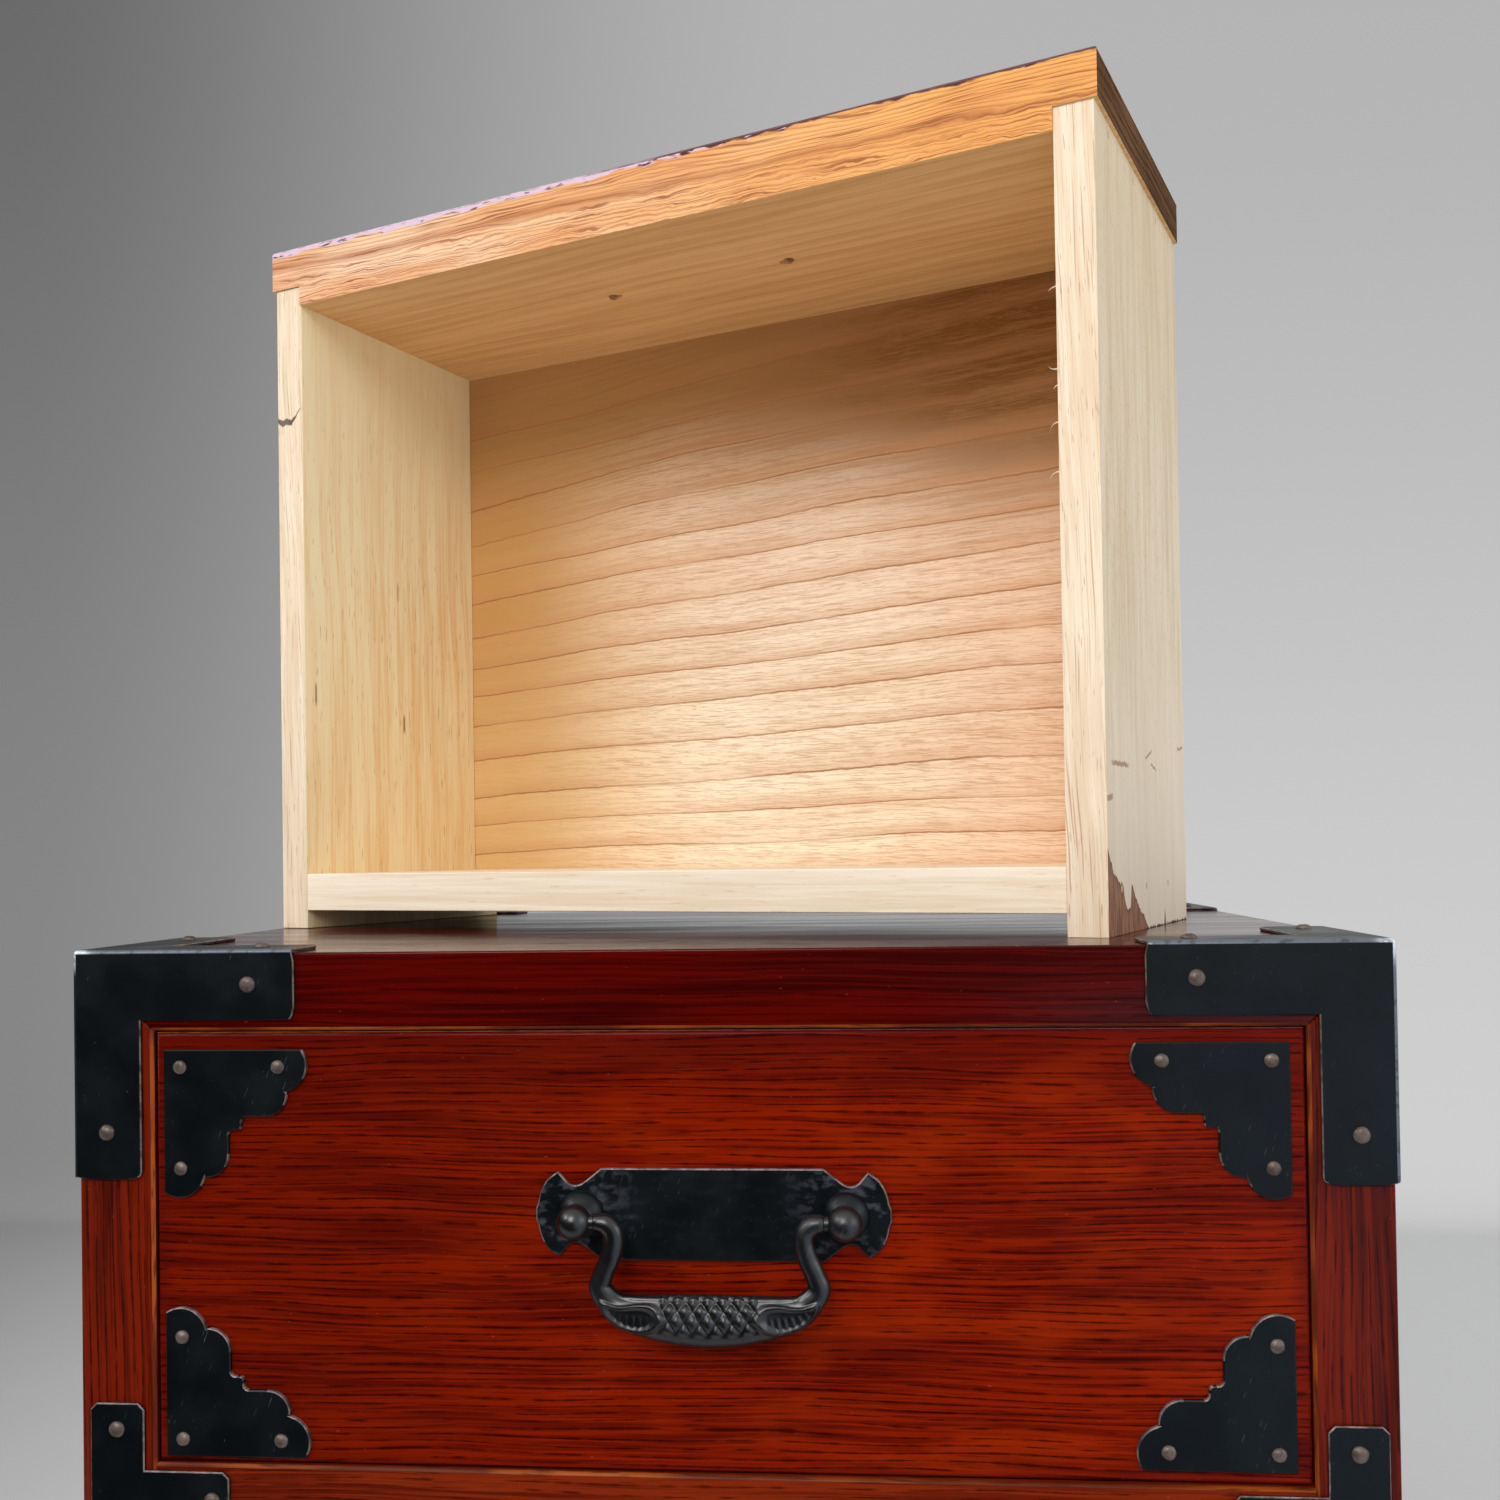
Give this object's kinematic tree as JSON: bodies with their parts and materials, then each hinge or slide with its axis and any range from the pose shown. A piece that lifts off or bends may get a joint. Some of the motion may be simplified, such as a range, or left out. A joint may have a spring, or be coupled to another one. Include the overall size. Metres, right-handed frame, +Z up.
{
  "type": "tansu chest",
  "caption": "Small lacquered tansu chest with iron corner caps and drawers with bail handles; one drawer is lifted out and stands on its back end on the top.",
  "frame": {"origin": "centre of the case's underside, on the floor", "axes": "+Z up, the drawer fronts face -Y, +X to the right seen from the front"},
  "size_m": [0.3024, 0.2422, 0.5949],
  "materials": {
    "case_lacquer": "dark red lacquer over open grain, glossy, worn orange at the edges",
    "inner_softwood": "plain planed softwood",
    "front_lacquer": "orange-red transparent lacquer over dark open grain, glossy",
    "drawer_softwood": "pale planed softwood, unfinished",
    "drawer_panel": "tan softwood panel with wavy brown grain",
    "peg_wood": "plain wood pegs",
    "sheet_iron": "blue-black satin sheet iron with lighter worn edges",
    "nail_iron": "brownish grey domed nail heads",
    "cast_handle": "blackened casting, satin"
  },
  "bodies": {
    "case": {"case_side_left": "case_lacquer", "case_side_right": "case_lacquer", "case_top": "case_lacquer", "case_bottom": "case_lacquer", "case_back": "inner_softwood", "rail_upper": "case_lacquer", "rail_lower": "case_lacquer", "shelf_upper": "inner_softwood", "shelf_lower": "inner_softwood", "cap_front_top_left": "sheet_iron", "cap_front_top_right": "sheet_iron", "cap_front_bottom_left": "sheet_iron", "cap_front_bottom_right": "sheet_iron", "cap_rear_top_left": "sheet_iron", "cap_rear_top_right": "sheet_iron", "cap_rear_bottom_left": "sheet_iron", "cap_rear_bottom_right": "sheet_iron", "rail_plate_upper_left": "sheet_iron", "rail_plate_upper_right": "sheet_iron", "rail_plate_lower_left": "sheet_iron", "rail_plate_lower_right": "sheet_iron", "case_nails": "nail_iron"},
    "top_drawer": {"top_drawer_front": "front_lacquer", "top_drawer_side_left": "drawer_softwood", "top_drawer_side_right": "drawer_softwood", "top_drawer_back": "drawer_softwood", "top_drawer_bottom": "drawer_panel", "top_drawer_pegs": "peg_wood", "top_drawer_corner_plates": "sheet_iron", "top_drawer_plate_nails": "nail_iron", "top_drawer_handle_plate": "sheet_iron", "top_drawer_handle_posts": "cast_handle"},
    "middle_drawer": {"middle_drawer_front": "front_lacquer", "middle_drawer_side_left": "drawer_softwood", "middle_drawer_side_right": "drawer_softwood", "middle_drawer_back": "drawer_softwood", "middle_drawer_bottom": "drawer_panel", "middle_drawer_pegs": "peg_wood", "middle_drawer_corner_plates": "sheet_iron", "middle_drawer_plate_nails": "nail_iron", "middle_drawer_handle_plate": "sheet_iron", "middle_drawer_handle_posts": "cast_handle"},
    "loose_drawer": {"loose_drawer_front": "front_lacquer", "loose_drawer_side_left": "drawer_softwood", "loose_drawer_side_right": "drawer_softwood", "loose_drawer_back": "drawer_softwood", "loose_drawer_bottom": "drawer_panel", "loose_drawer_pegs": "peg_wood", "loose_drawer_corner_plates": "sheet_iron", "loose_drawer_plate_nails": "nail_iron", "loose_drawer_handle_plate": "sheet_iron", "loose_drawer_handle_posts": "cast_handle"},
    "top_bail": {"top_drawer_bail": "cast_handle"},
    "middle_bail": {"middle_drawer_bail": "cast_handle"},
    "loose_bail": {"loose_drawer_bail": "cast_handle"}
  },
  "joints": [
    {"name": "top_drawer_slide", "type": "slide", "parent": "case", "child": "top_drawer", "axis": [0, -1, 0], "range_m": [0, 0.2]},
    {"name": "middle_drawer_slide", "type": "slide", "parent": "case", "child": "middle_drawer", "axis": [0, -1, 0], "range_m": [0, 0.2]},
    {"name": "loose_drawer_lift", "type": "slide", "parent": "case", "child": "loose_drawer", "axis": [0, 0, 1], "range_m": [0, 0.15]},
    {"name": "top_bail_hinge", "type": "hinge", "parent": "top_drawer", "child": "top_bail", "pos_m": [0, -0.122, 0.3091], "axis": [-1, 0, 0], "range_deg": [-10, 190]},
    {"name": "middle_bail_hinge", "type": "hinge", "parent": "middle_drawer", "child": "middle_bail", "pos_m": [0, -0.122, 0.1928], "axis": [-1, 0, 0], "range_deg": [-10, 190]},
    {"name": "loose_bail_hinge", "type": "hinge", "parent": "loose_drawer", "child": "loose_bail", "pos_m": [-0.01323, -0.00306, 0.59095], "axis": [0.9319, -0.3628, 0], "range_deg": [0, 200]}
  ]
}
